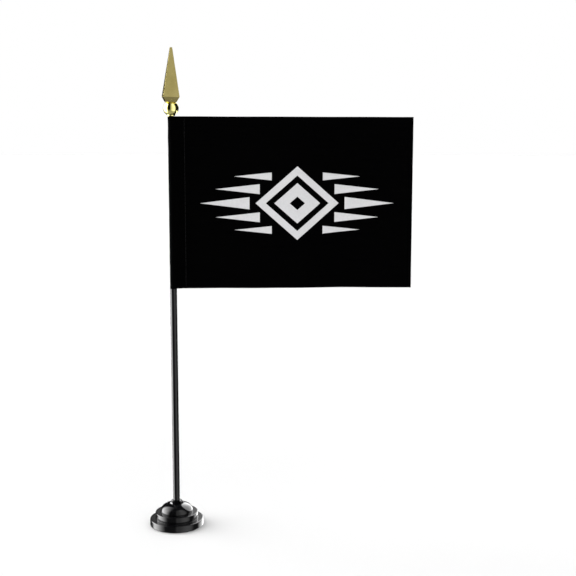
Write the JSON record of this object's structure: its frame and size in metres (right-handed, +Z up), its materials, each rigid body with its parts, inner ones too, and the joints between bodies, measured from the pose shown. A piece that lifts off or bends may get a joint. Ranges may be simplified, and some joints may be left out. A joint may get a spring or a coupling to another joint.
{
  "type": "desk flag stand",
  "caption": "Small black flag with a sleeved edge on a slim rod, with a gold ball and spear finial and a weighted, stepped round base.",
  "frame": {"origin": "centre of the foot's flat face, on the surface that the stand stands on", "axes": "+Z up along the rod, +X from the rod towards the flag's free edge, -Y out of the flag's front"},
  "size_m": [0.1571, 0.0322, 0.2843],
  "materials": {
    "base_gloss": "high gloss black moulding",
    "rod_gloss": "gloss black",
    "ballast": "turned steel",
    "plate": "matt black",
    "felt": "black felt",
    "cloth": "black woven polyester with a white print",
    "thread": "black polyester thread",
    "gold_mirror": "metallised mirror gold on ABS",
    "gold_satin": "metallised satin gold on ABS"
  },
  "bodies": {
    "base": {"base_shell": "base_gloss", "ballast_weight": "ballast", "bottom_plate": "plate", "felt_pad": "felt"},
    "collar": {"socket_collar": "base_gloss"},
    "rod": {"rod": "rod_gloss"},
    "flag": {"flag_cloth": "cloth", "sleeve_stitching": "thread"},
    "finial": {"finial_ball": "gold_mirror", "finial_spear": "gold_satin"}
  },
  "joints": [
    {"name": "rod_swivel", "type": "hinge", "parent": "base", "child": "collar", "pos_m": [0, 0, 0.0142], "axis": [0, 0, 1], "continuous": true},
    {"name": "rod_lift", "type": "slide", "parent": "collar", "child": "rod", "axis": [0, 0, 1], "range_m": [0, 0.02]},
    {"name": "flag_turn", "type": "hinge", "parent": "rod", "child": "flag", "pos_m": [0, 0, 0.1453], "axis": [0, 0, 1], "continuous": true},
    {"name": "finial_pull", "type": "slide", "parent": "rod", "child": "finial", "axis": [0, 0, 1], "range_m": [0, 0.008]}
  ]
}
